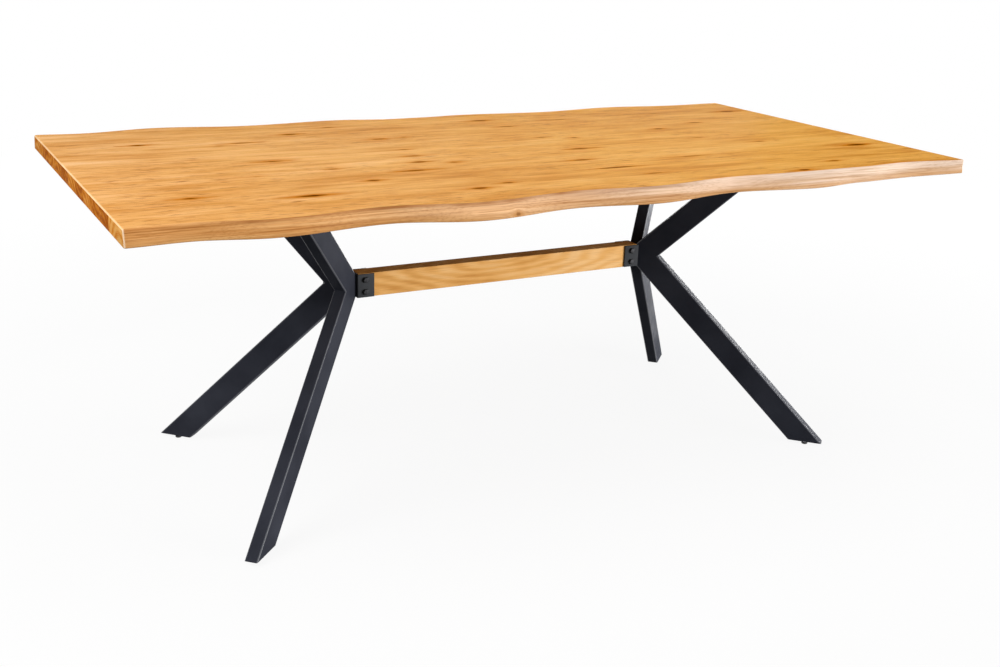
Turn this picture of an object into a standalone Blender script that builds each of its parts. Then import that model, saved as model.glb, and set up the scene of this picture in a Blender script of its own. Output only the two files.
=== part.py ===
"""Dining table: a live-edge plank top on two steel spider bases joined by a wooden stretcher beam.

Metres, +Z up. The origin is on the floor under the middle of the top, +X runs along the top
and +Y points to the rear long side. Left is -X and front is -Y.
"""

import math

import bmesh
import bpy
from mathutils import Matrix, Vector

# Top
TOP_HEIGHT = 0.762
TOP_LENGTH = 2.000
TOP_WIDTH = 1.000
TOP_THICKNESS = 0.033
LIVE_BOARD_WIDTH = 0.124
INNER_BOARDS = 9
END_EASE = 0.002
SECTION_PITCH = 0.040
BELLY_SHARE = 0.70

# Live edges: share of the length from the left end, then how far the upper and the lower
# arris stand outside the nominal width.
FRONT_EDGE = (
    (0.0000, -0.002, 0.005),
    (0.0550, -0.007, -0.002),
    (0.1350, 0.016, 0.025),
    (0.2450, -0.008, -0.003),
    (0.3400, 0.019, 0.038),
    (0.4550, -0.010, 0.004),
    (0.5450, 0.005, 0.026),
    (0.6575, -0.021, -0.010),
    (0.7650, -0.015, 0.016),
    (0.8350, -0.016, -0.001),
    (0.9150, -0.025, -0.009),
    (1.0000, -0.005, -0.004),
)
REAR_EDGE = (
    (0.0000, -0.002, 0.008),
    (0.0500, -0.012, 0.000),
    (0.1450, 0.018, 0.038),
    (0.2550, -0.013, 0.001),
    (0.3800, 0.007, 0.024),
    (0.4550, -0.015, -0.002),
    (0.5000, -0.013, 0.001),
    (0.5600, -0.002, 0.014),
    (0.6850, -0.018, -0.002),
    (0.8080, 0.009, 0.026),
    (0.9150, -0.012, 0.001),
    (1.0000, -0.006, 0.004),
)

# Steel bases: reaches are measured outwards from the base's upright axis to the tube's middle.
BASE_SPACING = 0.792
SPLAY_ANGLE = math.radians(45.5)
KNEE_HEIGHT = 0.464
KNEE_REACH = 0.020
FOOT_REACH = 0.484
ARM_REACH = 0.286
TUBE_DEPTH = 0.060
TUBE_WIDTH = 0.030
TUBE_WALL = 0.002
TUBE_CORNER = 0.003
LEG_CLEARANCE = 0.010
KNEE_FLAT = 0.006

# Mounting plates under the top and their screws
PLATE_LENGTH = 0.170
PLATE_WIDTH = 0.060
PLATE_THICKNESS = 0.005
PLATE_CORNER = 0.008
SCREW_MARGIN = 0.018
SCREW_RADIUS = 0.003
SCREW_COVER = 0.011
SCREW_TIP = 0.006
SCREW_HEAD_RADIUS = 0.0065
SCREW_HEAD_HEIGHT = 0.0035
SCREW_HOLE_RADIUS = 0.0045

# Levellers
FOOT_PLATE_THICKNESS = 0.006
STEM_RADIUS = 0.004
STEM_CHAMFER = 0.0008
STEM_SPARE = 0.004
LEVELLER_TRAVEL = 0.010
COLLAR_ACROSS = 0.013
COLLAR_HEIGHT = 0.004
PIN_RADIUS = 0.003
PAD_RADIUS = 0.008
PAD_DRAFT = 0.001
PAD_FLOOR = 0.002

# Stretcher beam, its brackets and bolts
BEAM_HEIGHT = 0.057
BEAM_THICKNESS = 0.043
BEAM_ARRIS = 0.0015
BRACKET_LENGTH = 0.042
BRACKET_HEIGHT = 0.056
BRACKET_PLATE = 0.004
BRACKET_BEND = 0.003
BOLT_RADIUS = 0.004
BOLT_PITCH = 0.029
BOLT_SETBACK = 0.017
BOLT_TAIL = 0.003
HEX_ACROSS = 0.013
HEAD_HEIGHT = 0.0053
NUT_HEIGHT = 0.0065

# Clearances: between pieces that touch, and round a screw or bolt in its hole
SEAT_GAP = 0.0003
HOLE_GAP = 0.0003

# Facets of round pieces
ROUND_SIDES = 20
CORNER_SEGMENTS = 2
SMOOTH_ANGLE = math.radians(40)

SIDES = {"left": -1, "right": 1}
ENDS = {"front": -1, "rear": 1}

# Heights and places that follow from the sizes above
UNDERSIDE = TOP_HEIGHT - TOP_THICKNESS
PLATE_TOP = UNDERSIDE - SEAT_GAP
PLATE_BOTTOM = PLATE_TOP - PLATE_THICKNESS
ARM_END = PLATE_BOTTOM - SEAT_GAP
BOARD_PITCH = (TOP_WIDTH - 2 * LIVE_BOARD_WIDTH) / INNER_BOARDS
INNER_HALF = BOARD_PITCH * INNER_BOARDS / 2
KNEE_FACE = BASE_SPACING / 2 - KNEE_FLAT
BRACKET_BACK = KNEE_FACE - SEAT_GAP
BRACKET_WEB = BRACKET_BACK - BRACKET_PLATE
BEAM_HALF = BRACKET_WEB - SEAT_GAP
CHEEK_INSIDE = BEAM_THICKNESS / 2 + SEAT_GAP
CHEEK_OUTSIDE = CHEEK_INSIDE + BRACKET_PLATE
BOLT_X = BRACKET_WEB - BOLT_SETBACK
COLLAR_TOP = LEG_CLEARANCE - SEAT_GAP
COLLAR_BOTTOM = COLLAR_TOP - COLLAR_HEIGHT
PAD_TOP = COLLAR_BOTTOM - SEAT_GAP
FOOT_PLATE_TOP = LEG_CLEARANCE + FOOT_PLATE_THICKNESS
STEM_TOP = FOOT_PLATE_TOP + LEVELLER_TRAVEL + STEM_SPARE


for old in list(bpy.data.objects):
    bpy.data.objects.remove(old, do_unlink=True)

parts = bpy.data.collections.new("dining_table")
cutters = bpy.data.collections.new("cutters")
for collection in (parts, cutters):
    bpy.context.scene.collection.children.link(collection)


def finish(name, colour, roughness, metallic=0.0):
    """A plain finish: base colour, roughness and metallic value."""
    material = bpy.data.materials.new(name)
    material.use_nodes = True
    shader = material.node_tree.nodes["Principled BSDF"]
    shader.inputs["Base Color"].default_value = (*colour, 1.0)
    shader.inputs["Roughness"].default_value = roughness
    shader.inputs["Metallic"].default_value = metallic
    return material


LIVE_BOARD_FINISH = finish("live_edge_board_oil", (0.72, 0.42, 0.17), 0.45)
BOARD_FINISH = finish("top_board_oil", (0.76, 0.40, 0.10), 0.40)
BEAM_FINISH = finish("beam_oil", (0.70, 0.38, 0.12), 0.45)
ARM_FINISH = finish("arm_powder_coat", (0.012, 0.012, 0.014), 0.38)
LEG_FINISH = finish("leg_powder_coat", (0.012, 0.012, 0.014), 0.38)
PLATE_FINISH = finish("plate_powder_coat", (0.014, 0.014, 0.016), 0.45)
BRACKET_FINISH = finish("bracket_powder_coat", (0.020, 0.020, 0.022), 0.42)
FOOT_PLATE_FINISH = finish("foot_plate_steel", (0.10, 0.10, 0.11), 0.50, 0.8)
BOLT_FINISH = finish("bolt_black_oxide", (0.025, 0.025, 0.028), 0.35, 0.6)
NUT_FINISH = finish("nut_black_oxide", (0.025, 0.025, 0.028), 0.35, 0.6)
SCREW_FINISH = finish("screw_zinc", (0.55, 0.55, 0.56), 0.35, 0.9)
STEM_FINISH = finish("stem_zinc", (0.45, 0.45, 0.46), 0.35, 0.9)
PAD_FINISH = finish("pad_nylon", (0.015, 0.015, 0.015), 0.55)


def place(name, mesh, material, matrix=Matrix.Identity(4)):
    """A piece of the table, shaded smooth up to its sharp edges."""
    mesh.shade_smooth()
    mesh.set_sharp_from_angle(angle=SMOOTH_ANGLE)
    mesh.materials.clear()
    mesh.materials.append(material)
    piece = bpy.data.objects.new(name, mesh)
    piece.matrix_world = matrix
    parts.objects.link(piece)
    return piece


def helper(name, mesh, matrix=Matrix.Identity(4)):
    """A hidden shape that cuts or joins pieces."""
    shape = bpy.data.objects.new(name, mesh)
    shape.matrix_world = matrix
    shape.hide_render = True
    shape.display_type = "WIRE"
    cutters.objects.link(shape)
    return shape


def combine(piece, shape, operation="DIFFERENCE"):
    modifier = piece.modifiers.new(shape.name, "BOOLEAN")
    modifier.operation = operation
    modifier.solver = "EXACT"
    modifier.object = shape


def mesh_from(bm, name):
    bmesh.ops.recalc_face_normals(bm, faces=bm.faces)
    mesh = bpy.data.meshes.new(name)
    bm.to_mesh(mesh)
    bm.free()
    return mesh


def settled(piece):
    """The piece's mesh with its modifiers applied. The piece itself is removed."""
    graph = bpy.context.evaluated_depsgraph_get()
    mesh = bpy.data.meshes.new_from_object(piece.evaluated_get(graph))
    bpy.data.objects.remove(piece, do_unlink=True)
    return mesh


def box(name, low, high):
    """An upright block between two corners."""
    low, high = Vector(low), Vector(high)
    bm = bmesh.new()
    bmesh.ops.create_cube(bm, size=1.0)
    bmesh.ops.scale(bm, vec=high - low, verts=bm.verts)
    bmesh.ops.translate(bm, vec=(low + high) / 2, verts=bm.verts)
    return mesh_from(bm, name)


def bar(name, size, corner):
    """A block centred on its origin, with its four edges along Z rounded."""
    bm = bmesh.new()
    bmesh.ops.create_cube(bm, size=1.0)
    bmesh.ops.scale(bm, vec=size, verts=bm.verts)
    long_edges = [e for e in bm.edges if e.verts[0].co.xy == e.verts[1].co.xy]
    bmesh.ops.bevel(bm, geom=long_edges, offset=corner, segments=CORNER_SEGMENTS,
                    profile=0.5, affect="EDGES")
    return mesh_from(bm, name)


def rod(name, radius, low, high, sides=ROUND_SIDES):
    """A round or hexagonal bar along Z. The radius is measured to its corners."""
    bm = bmesh.new()
    bmesh.ops.create_cone(bm, cap_ends=True, segments=sides, radius1=radius, radius2=radius,
                          depth=high - low)
    bmesh.ops.translate(bm, vec=(0, 0, (low + high) / 2), verts=bm.verts)
    return mesh_from(bm, name)


def hexagon(name, across, low, high):
    return rod(name, across / 2 / math.cos(math.pi / 6), low, high, sides=6)


def turned(name, profile):
    """A turned shape from its (radius, height) profile, which runs down the outer side."""
    bm = bmesh.new()
    points = [bm.verts.new((radius, 0, height)) for radius, height in profile]
    for upper, lower in zip(points, points[1:]):
        bm.edges.new((upper, lower))
    mesh = bpy.data.meshes.new(name)
    bm.to_mesh(mesh)
    bm.free()
    shape = helper(name, mesh)
    screw = shape.modifiers.new("turn", "SCREW")
    screw.steps = ROUND_SIDES
    screw.render_steps = ROUND_SIDES
    screw.use_merge_vertices = True
    screw.merge_threshold = 0.00001
    return settled(shape)


def outwards(side, end):
    """Level direction in which the arms and legs of one quarter of the table lean out."""
    return Vector((side * math.cos(SPLAY_ANGLE), end * math.sin(SPLAY_ANGLE), 0))


def spot(side, end, reach, height):
    """A point in the plane of one quarter's arm and leg."""
    point = Vector((side * BASE_SPACING / 2, 0, height))
    return point + outwards(side, end) * reach


def facing_out(side, end, reach, height):
    """Placement with local X pointing outwards along the quarter's plane."""
    along = outwards(side, end)
    turn = Matrix.Rotation(math.atan2(along.y, along.x), 4, "Z")
    return Matrix.Translation(spot(side, end, reach, height)) @ turn


QUARTERS = [(f"{end_name}_{side_name}", side, end)
            for side_name, side in SIDES.items() for end_name, end in ENDS.items()]


# Top: nine planks and two live-edge boards, glued edge to edge
def edge_offset(stations, share, column):
    """Offset of an arris at a share of the length, eased from one station to the next."""
    for near, far in zip(stations, stations[1:]):
        if share <= far[0]:
            along = (share - near[0]) / (far[0] - near[0])
            ease = (1 - math.cos(math.pi * along)) / 2
            return near[column] + (far[column] - near[column]) * ease
    return stations[-1][column]


def section_shares(stations):
    """Shares of the length at which the live edge is drawn: every station and even steps between."""
    shares = [0.0, END_EASE / TOP_LENGTH]
    for near, far in zip(stations, stations[1:]):
        steps = max(1, round((far[0] - near[0]) * TOP_LENGTH / SECTION_PITCH))
        shares += [near[0] + (far[0] - near[0]) * k / steps for k in range(1, steps + 1)]
    return shares[:-1] + [1 - END_EASE / TOP_LENGTH, 1.0]


def live_edge_board(name, end, stations):
    """A board whose outer side follows the two arrises of a natural edge."""
    bm = bmesh.new()
    shares = section_shares(stations)
    rings = []
    for share in shares:
        x = (share - 0.5) * TOP_LENGTH
        top = TOP_HEIGHT - (END_EASE if share in (0.0, 1.0) else 0)
        upper = TOP_WIDTH / 2 + edge_offset(stations, share, 1)
        lower = TOP_WIDTH / 2 + edge_offset(stations, share, 2)
        belly = upper + (lower - upper) * BELLY_SHARE
        inner = INNER_HALF + SEAT_GAP / 2
        section = ((inner, top), (upper, top), (belly, (top + UNDERSIDE) / 2),
                   (lower, UNDERSIDE), (inner, UNDERSIDE))
        rings.append([bm.verts.new((x, end * y, z)) for y, z in section])
    for near, far in zip(rings, rings[1:]):
        for k in range(len(near)):
            bm.faces.new((near[k - 1], near[k], far[k], far[k - 1]))
    bm.faces.new(rings[0])
    bm.faces.new(rings[-1])
    return place(name, mesh_from(bm, name), LIVE_BOARD_FINISH)


def inner_board(name, y_low, y_high):
    """A plank with its upper end edges eased."""
    bm = bmesh.new()
    bmesh.ops.create_cube(bm, size=1.0)
    bmesh.ops.scale(bm, vec=(TOP_LENGTH, y_high - y_low, TOP_THICKNESS), verts=bm.verts)
    bmesh.ops.translate(bm, vec=(0, (y_low + y_high) / 2, TOP_HEIGHT - TOP_THICKNESS / 2),
                        verts=bm.verts)
    eased = [e for e in bm.edges
             if all(v.co.z > TOP_HEIGHT - TOP_THICKNESS / 2 for v in e.verts)
             and e.verts[0].co.x * e.verts[1].co.x > 0]
    bmesh.ops.bevel(bm, geom=eased, offset=END_EASE, segments=1, affect="EDGES")
    return place(name, mesh_from(bm, name), BOARD_FINISH)


boards = {}
boards["front_live_edge_board"] = live_edge_board("front_live_edge_board", ENDS["front"], FRONT_EDGE)
boards["rear_live_edge_board"] = live_edge_board("rear_live_edge_board", ENDS["rear"], REAR_EDGE)
for number in range(INNER_BOARDS):
    board_name = f"top_board_{number + 1}"
    y_start = -INNER_HALF + number * BOARD_PITCH
    boards[board_name] = inner_board(board_name, y_start + SEAT_GAP / 2,
                                     y_start + BOARD_PITCH - SEAT_GAP / 2)


# Bases: on each side two arms and two legs of rectangular tube, mitred level at the knee,
# upright where front meets rear, and flat where the bracket is welded on
FAR = TOP_LENGTH
above_knees = helper("above_knees", box("above_knees", (-FAR, -FAR, KNEE_HEIGHT - SEAT_GAP / 2),
                                        (FAR, FAR, FAR)))
below_knees = helper("below_knees", box("below_knees", (-FAR, -FAR, -FAR),
                                        (FAR, FAR, KNEE_HEIGHT + SEAT_GAP / 2)))
above_arms = helper("above_arms", box("above_arms", (-FAR, -FAR, ARM_END), (FAR, FAR, FAR)))
below_legs = helper("below_legs", box("below_legs", (-FAR, -FAR, -FAR), (FAR, FAR, LEG_CLEARANCE)))
between_bases = helper("between_bases", box("between_bases", (-KNEE_FACE, -FAR, -FAR),
                                            (KNEE_FACE, FAR, FAR)))
opposite_end = {
    ENDS["front"]: helper("rear_half", box("rear_half", (-FAR, -SEAT_GAP / 2, -FAR),
                                           (FAR, FAR, FAR))),
    ENDS["rear"]: helper("front_half", box("front_half", (-FAR, -FAR, -FAR),
                                           (FAR, SEAT_GAP / 2, FAR))),
}


def tube(name, side, end, reach, height, trims, material):
    """A rectangular tube from the knee to a level cut at the given reach and height."""
    knee = spot(side, end, KNEE_REACH, KNEE_HEIGHT)
    far_end = spot(side, end, reach, height)
    axis = (far_end - knee).normalized()
    width_axis = outwards(side, end).cross(Vector((0, 0, 1))).normalized()
    depth_axis = width_axis.cross(axis)
    turn = Matrix((depth_axis, width_axis, axis)).transposed().to_4x4()
    matrix = Matrix.Translation((knee + far_end) / 2) @ turn
    # The blank is longer than the finished tube by more than its level cuts take off.
    length = (far_end - knee).length + 4 * TUBE_DEPTH
    piece = place(name, bar(name, (TUBE_DEPTH, TUBE_WIDTH, length), TUBE_CORNER), material, matrix)
    hollow_size = Vector((TUBE_DEPTH - 2 * TUBE_WALL, TUBE_WIDTH - 2 * TUBE_WALL, 2 * length))
    hollow = helper(f"{name}_hollow", box(f"{name}_hollow", -hollow_size / 2, hollow_size / 2),
                    matrix)
    for shape in (hollow, *trims, between_bases, opposite_end[end]):
        combine(piece, shape)
    return piece


for quarter, side, end in QUARTERS:
    tube(f"arm_{quarter}", side, end, ARM_REACH, ARM_END, (below_knees, above_arms), ARM_FINISH)
    tube(f"leg_{quarter}", side, end, FOOT_REACH, LEG_CLEARANCE, (above_knees, below_legs), LEG_FINISH)


# Mounting plates: one on each arm, with a screw at each end into a blind hole in a board
def mounting_screw():
    """A pan-head wood screw pointing up, its head's seat at the origin."""
    tip = PLATE_THICKNESS + SEAT_GAP + TOP_THICKNESS - SCREW_COVER
    return turned("mounting_screw", (
        (0, tip),
        (SCREW_RADIUS, tip - SCREW_TIP),
        (SCREW_RADIUS, 0),
        (SCREW_HEAD_RADIUS, 0),
        (SCREW_HEAD_RADIUS, -SCREW_HEAD_HEIGHT / 2),
        (SCREW_HEAD_RADIUS / 2, -SCREW_HEAD_HEIGHT),
        (0, -SCREW_HEAD_HEIGHT),
    ))


screw_mesh = mounting_screw()
screw_seat = PLATE_BOTTOM - SEAT_GAP
screw_offset = PLATE_LENGTH / 2 - SCREW_MARGIN
pilot_radius = SCREW_RADIUS + HOLE_GAP
for quarter, side, end in QUARTERS:
    plate_name = f"mounting_plate_{quarter}"
    plate = place(plate_name, bar(plate_name, (PLATE_LENGTH, PLATE_WIDTH, PLATE_THICKNESS), PLATE_CORNER),
                  PLATE_FINISH, facing_out(side, end, ARM_REACH, (PLATE_TOP + PLATE_BOTTOM) / 2))
    for where, offset in (("inner", -screw_offset), ("outer", screw_offset)):
        seat = spot(side, end, ARM_REACH + offset, screw_seat)
        screw_name = f"mounting_screw_{quarter}_{where}"
        place(screw_name, screw_mesh, SCREW_FINISH, Matrix.Translation(seat))
        hole_name = f"{screw_name}_hole"
        combine(plate, helper(hole_name, rod(hole_name, SCREW_HOLE_RADIUS, -TOP_THICKNESS, TOP_THICKNESS),
                              Matrix.Translation((seat.x, seat.y, PLATE_BOTTOM))))
        pilot_name = f"{screw_name}_pilot"
        pilot = helper(pilot_name, rod(pilot_name, pilot_radius, -TOP_THICKNESS,
                                       TOP_THICKNESS - SCREW_COVER + HOLE_GAP),
                       Matrix.Translation((seat.x, seat.y, UNDERSIDE)))
        for board in boards.values():
            y_reach = [vertex.co.y for vertex in board.data.vertices]
            if min(y_reach) - pilot_radius < seat.y < max(y_reach) + pilot_radius:
                combine(board, pilot)


# Levellers: a threaded plate closes each leg, and a stem with a hexagon collar turns in it on a pad
def foot_plate(name, side, end):
    """A plate with its long sides leaning like the leg, flush with the leg's level cut."""
    lean = (FOOT_REACH - KNEE_REACH) / (KNEE_HEIGHT - LEG_CLEARANCE)
    level_share = math.sqrt(1 + lean * lean)
    length = (TUBE_DEPTH - 2 * TUBE_WALL - 2 * SEAT_GAP) * level_share
    width = TUBE_WIDTH - 2 * TUBE_WALL - 2 * SEAT_GAP
    mesh = bar(name, (length, width, FOOT_PLATE_THICKNESS), TUBE_CORNER)
    middle = LEG_CLEARANCE + FOOT_PLATE_THICKNESS / 2
    for vertex in mesh.vertices:
        vertex.co.x -= lean * (vertex.co.z + FOOT_PLATE_THICKNESS / 2)
    return place(name, mesh, FOOT_PLATE_FINISH, facing_out(side, end, FOOT_REACH, middle))


def leveller_stem():
    """A threaded stem standing on a thin pin, with a hexagon collar under the foot plate."""
    pin_bottom = PAD_FLOOR + SEAT_GAP
    shaft = helper("leveller_shaft", turned("leveller_shaft", (
        (0, STEM_TOP),
        (STEM_RADIUS - STEM_CHAMFER, STEM_TOP),
        (STEM_RADIUS, STEM_TOP - STEM_CHAMFER),
        (STEM_RADIUS, (COLLAR_TOP + COLLAR_BOTTOM) / 2),
        (PIN_RADIUS, (COLLAR_TOP + COLLAR_BOTTOM) / 2),
        (PIN_RADIUS, pin_bottom),
        (0, pin_bottom),
    )))
    collar = helper("leveller_collar", hexagon("leveller_collar", COLLAR_ACROSS, COLLAR_BOTTOM, COLLAR_TOP))
    combine(shaft, collar, "UNION")
    mesh = settled(shaft)
    bpy.data.objects.remove(collar, do_unlink=True)
    return mesh


def leveller_pad():
    """A moulded pad with a socket for the stem's pin."""
    socket = PIN_RADIUS + HOLE_GAP
    return turned("leveller_pad", (
        (0, PAD_FLOOR),
        (socket, PAD_FLOOR),
        (socket, PAD_TOP),
        (PAD_RADIUS - PAD_DRAFT, PAD_TOP),
        (PAD_RADIUS, PAD_TOP / 2),
        (PAD_RADIUS - PAD_DRAFT, 0),
        (0, 0),
    ))


stem_mesh = leveller_stem()
pad_mesh = leveller_pad()
for quarter, side, end in QUARTERS:
    foot = Matrix.Translation(spot(side, end, FOOT_REACH, 0))
    thread_name = f"foot_thread_{quarter}"
    thread = helper(thread_name, rod(thread_name, STEM_RADIUS + HOLE_GAP, 0, STEM_TOP), foot)
    combine(foot_plate(f"foot_plate_{quarter}", side, end), thread)
    place(f"leveller_stem_{quarter}", stem_mesh, STEM_FINISH, foot)
    place(f"leveller_pad_{quarter}", pad_mesh, PAD_FINISH, foot)


# Stretcher: a wooden beam held in a U-shaped bracket at each base by two through-bolts
def beam_bracket(name, side):
    """A web against the knee's flat and two cheeks along the beam."""
    length = BRACKET_LENGTH
    mesh = bar(name, (length, 2 * CHEEK_OUTSIDE, BRACKET_HEIGHT), BRACKET_BEND)
    middle = Matrix.Translation((side * (BRACKET_BACK - length / 2), 0, KNEE_HEIGHT))
    piece = place(name, mesh, BRACKET_FINISH, middle)
    near, far = sorted((side * BRACKET_WEB, side * (BRACKET_BACK - 2 * length)))
    slot_name = f"{name}_slot"
    combine(piece, helper(slot_name, box(slot_name, (near, -CHEEK_INSIDE, KNEE_HEIGHT - BRACKET_HEIGHT),
                                         (far, CHEEK_INSIDE, KNEE_HEIGHT + BRACKET_HEIGHT))))
    return piece


def beam_bolt():
    """A hexagon-head bolt pointing along +Z, its head's seat at the origin."""
    length = 2 * CHEEK_OUTSIDE + 2 * SEAT_GAP + NUT_HEIGHT + BOLT_TAIL
    shank = helper("bolt_shank", rod("bolt_shank", BOLT_RADIUS, -HEAD_HEIGHT / 2, length))
    head = helper("bolt_head", hexagon("bolt_head", HEX_ACROSS, -HEAD_HEIGHT, 0))
    combine(shank, head, "UNION")
    mesh = settled(shank)
    bpy.data.objects.remove(head, do_unlink=True)
    return mesh


def beam_nut():
    """A hexagon nut on the same axis, its seat at the origin."""
    nut = helper("nut_blank", hexagon("nut_blank", HEX_ACROSS, 0, NUT_HEIGHT))
    thread = helper("nut_thread", rod("nut_thread", BOLT_RADIUS + HOLE_GAP, -NUT_HEIGHT, 2 * NUT_HEIGHT))
    combine(nut, thread)
    mesh = settled(nut)
    bpy.data.objects.remove(thread, do_unlink=True)
    return mesh


beam_mesh = bar("stretcher_beam", (BEAM_THICKNESS, BEAM_HEIGHT, 2 * BEAM_HALF), BEAM_ARRIS)
along_x = Matrix.Rotation(math.pi / 2, 4, "Y") @ Matrix.Rotation(math.pi / 2, 4, "Z")
beam = place("stretcher_beam", beam_mesh, BEAM_FINISH, Matrix.Translation((0, 0, KNEE_HEIGHT)) @ along_x)
bolt_mesh = beam_bolt()
nut_mesh = beam_nut()
to_rear = Matrix.Rotation(-math.pi / 2, 4, "X")
for side_name, side in SIDES.items():
    bracket = beam_bracket(f"beam_bracket_{side_name}", side)
    for level, rise in (("lower", -BOLT_PITCH / 2), ("upper", BOLT_PITCH / 2)):
        label = f"{side_name}_{level}"
        x, z = side * BOLT_X, KNEE_HEIGHT + rise
        seat = CHEEK_OUTSIDE + SEAT_GAP
        place(f"beam_bolt_{label}", bolt_mesh, BOLT_FINISH, Matrix.Translation((x, -seat, z)) @ to_rear)
        place(f"beam_nut_{label}", nut_mesh, NUT_FINISH, Matrix.Translation((x, seat, z)) @ to_rear)
        hole_name = f"bolt_hole_{label}"
        hole_mesh = rod(hole_name, BOLT_RADIUS + HOLE_GAP, -2 * CHEEK_OUTSIDE, 2 * CHEEK_OUTSIDE)
        hole = helper(hole_name, hole_mesh, Matrix.Translation((x, 0, z)) @ to_rear)
        combine(bracket, hole)
        combine(beam, hole)
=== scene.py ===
import math

import bmesh
import bpy
from mathutils import Matrix, Vector, noise


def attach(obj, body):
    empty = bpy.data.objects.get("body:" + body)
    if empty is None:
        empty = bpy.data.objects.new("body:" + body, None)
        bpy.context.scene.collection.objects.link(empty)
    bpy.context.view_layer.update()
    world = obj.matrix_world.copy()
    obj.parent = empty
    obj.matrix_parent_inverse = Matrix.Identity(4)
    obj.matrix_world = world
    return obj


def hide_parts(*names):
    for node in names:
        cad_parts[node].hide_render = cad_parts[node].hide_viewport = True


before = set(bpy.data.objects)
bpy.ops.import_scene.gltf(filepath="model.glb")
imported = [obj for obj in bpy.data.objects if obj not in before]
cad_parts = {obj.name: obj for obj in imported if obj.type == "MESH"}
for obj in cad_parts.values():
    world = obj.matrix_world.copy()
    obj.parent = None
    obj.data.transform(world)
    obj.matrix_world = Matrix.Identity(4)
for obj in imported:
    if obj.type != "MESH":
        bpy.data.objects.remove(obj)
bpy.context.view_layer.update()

# Legs: four lengths of 60 x 30 mm steel tube with 2 mm walls, mitred level at the knee and sawn level above
# the floor. Front and rear legs meet in the table's long middle plane, are welded there and ground flush,
# and the whole base is powder coated satin black.
base_spacing = 0.792
splay = math.radians(45.5)
knee_height = 0.464
knee_reach = 0.020
knee_flat = 0.006
knee_face = base_spacing / 2 - knee_flat
foot_reach = 0.484
leg_clearance = 0.010
leg_mouth = 0.035
tube_depth = 0.060
tube_width = 0.030
tube_wall = 0.002
tube_corner = 0.003
quarters = [(f"{end_name}_{side_name}", side, end) for side_name, side in (("left", -1), ("right", 1))
            for end_name, end in (("front", -1), ("rear", 1))]


class Amount:
    """What comes out of a node. It is added, taken off and multiplied like a number, by further nodes."""

    def __init__(self, socket):
        self.socket = socket
        self.tree = socket.id_data

    def maths(self, operation, other=0.0):
        return put(self.tree, "ShaderNodeMath", {0: self, 1: other}, operation=operation)

    def __add__(self, other):
        return self.maths("ADD", other)

    def __sub__(self, other):
        return self.maths("SUBTRACT", other)

    def __mul__(self, other):
        return self.maths("MULTIPLY", other)


def feed(node, sockets):
    """Gives a node's sockets plain values, or amounts that feed them, in a list where one takes several."""
    for key, value in sockets.items():
        if isinstance(value, Amount):
            value = [value]
        if isinstance(value, list):
            for amount in value:
                node.id_data.links.new(amount.socket, node.inputs[key])
        else:
            node.inputs[key].default_value = value


def put(tree, kind, sockets=None, out=0, **settings):
    """Adds a node and gives one of its outputs."""
    node = tree.nodes.new(kind)
    for key, value in settings.items():
        setattr(node, key, value)
    feed(node, sockets or {})
    return Amount(node.outputs[out])


def new_finish(name):
    """A finish to be filled: the material, its shader and the piece's own coordinates."""
    material = bpy.data.materials.new(name)
    material.use_nodes = True
    tree = material.node_tree
    return material, tree.nodes["Principled BSDF"], put(tree, "ShaderNodeTexCoord", out="Object")


def grain(where, stretch, detail):
    """Noise with its own number of waves in a metre along each axis."""
    stretched = put(where.tree, "ShaderNodeVectorMath", {0: where, 1: stretch}, operation="MULTIPLY")
    return put(where.tree, "ShaderNodeTexNoise", {"Vector": stretched, "Scale": 1.0, "Detail": detail})


def between(amount, low, high, to_low=0.0, to_high=1.0):
    """Turns one range of a value into another, and holds it there."""
    return put(amount.tree, "ShaderNodeMapRange", {"Value": amount, "From Min": low, "From Max": high,
                                                   "To Min": to_low, "To Max": to_high})


def tints(amount, *stops):
    """Colours along a ramp, given as places and colours."""
    ramp = put(amount.tree, "ShaderNodeValToRGB", {0: amount})
    elements = ramp.socket.node.color_ramp.elements
    while len(elements) < len(stops):
        elements.new(1.0)
    for element, (place, colour) in zip(elements, stops):
        element.position = place
        element.color = (*colour, 1.0)
    return ramp


def relief(height, depth):
    return put(height.tree, "ShaderNodeBump", {"Height": height, "Strength": 1.0, "Distance": depth})


def powder_coat(name, dark, light, sheen):
    """Satin powder coat: a fine orange-peel skin, uneven in tone and gloss, slicker on round corners."""
    material, shader, where = new_finish(name)
    rounding = put(where.tree, "ShaderNodeAttribute", out="Fac", attribute_name="corner")
    feed(shader, {"Base Color": tints(grain(where, (9, 9, 9), 3), (0.3, dark), (0.7, light)),
                  "Roughness": between(grain(where, (40, 40, 40), 4), 0.3, 0.7, sheen - 0.05, sheen + 0.07),
                  "Specular IOR Level": between(rounding, 0, 1, 0.005, 0.5),
                  "Normal": relief(grain(where, (600, 600, 600), 1), 0.000008)})
    return material


def way_out(side, end):
    """Level direction in which one quarter's arm and leg lean out."""
    return Vector((side * math.cos(splay), end * math.sin(splay), 0))


def way_across(side, end):
    """Level direction across one quarter's arm and leg."""
    return way_out(side, end).cross(Vector((0, 0, 1))).normalized()


def base_point(side, end, reach, height):
    return Vector((side * base_spacing / 2, 0, height)) + way_out(side, end) * reach


def soft_rectangle(wide, high, radius, steps=5):
    """Outline with round corners. A narrow strip beside each arc keeps the flats flat when shaded."""
    strip = radius * 0.15
    points = []
    for quarter_turn, (u, v) in enumerate(((1, 1), (-1, 1), (-1, -1), (1, -1))):
        middle = Vector((u * (wide / 2 - radius), v * (high / 2 - radius)))
        turns = [(quarter_turn + k / steps) * math.pi / 2 for k in range(steps + 1)]
        arc = [middle + radius * Vector((math.cos(a), math.sin(a))) for a in turns]
        before = Vector((math.sin(turns[0]), -math.cos(turns[0]))) * strip
        after = Vector((-math.sin(turns[-1]), math.cos(turns[-1]))) * strip
        points += [arc[0] + before, *arc, arc[-1] + after]
    return points


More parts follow.
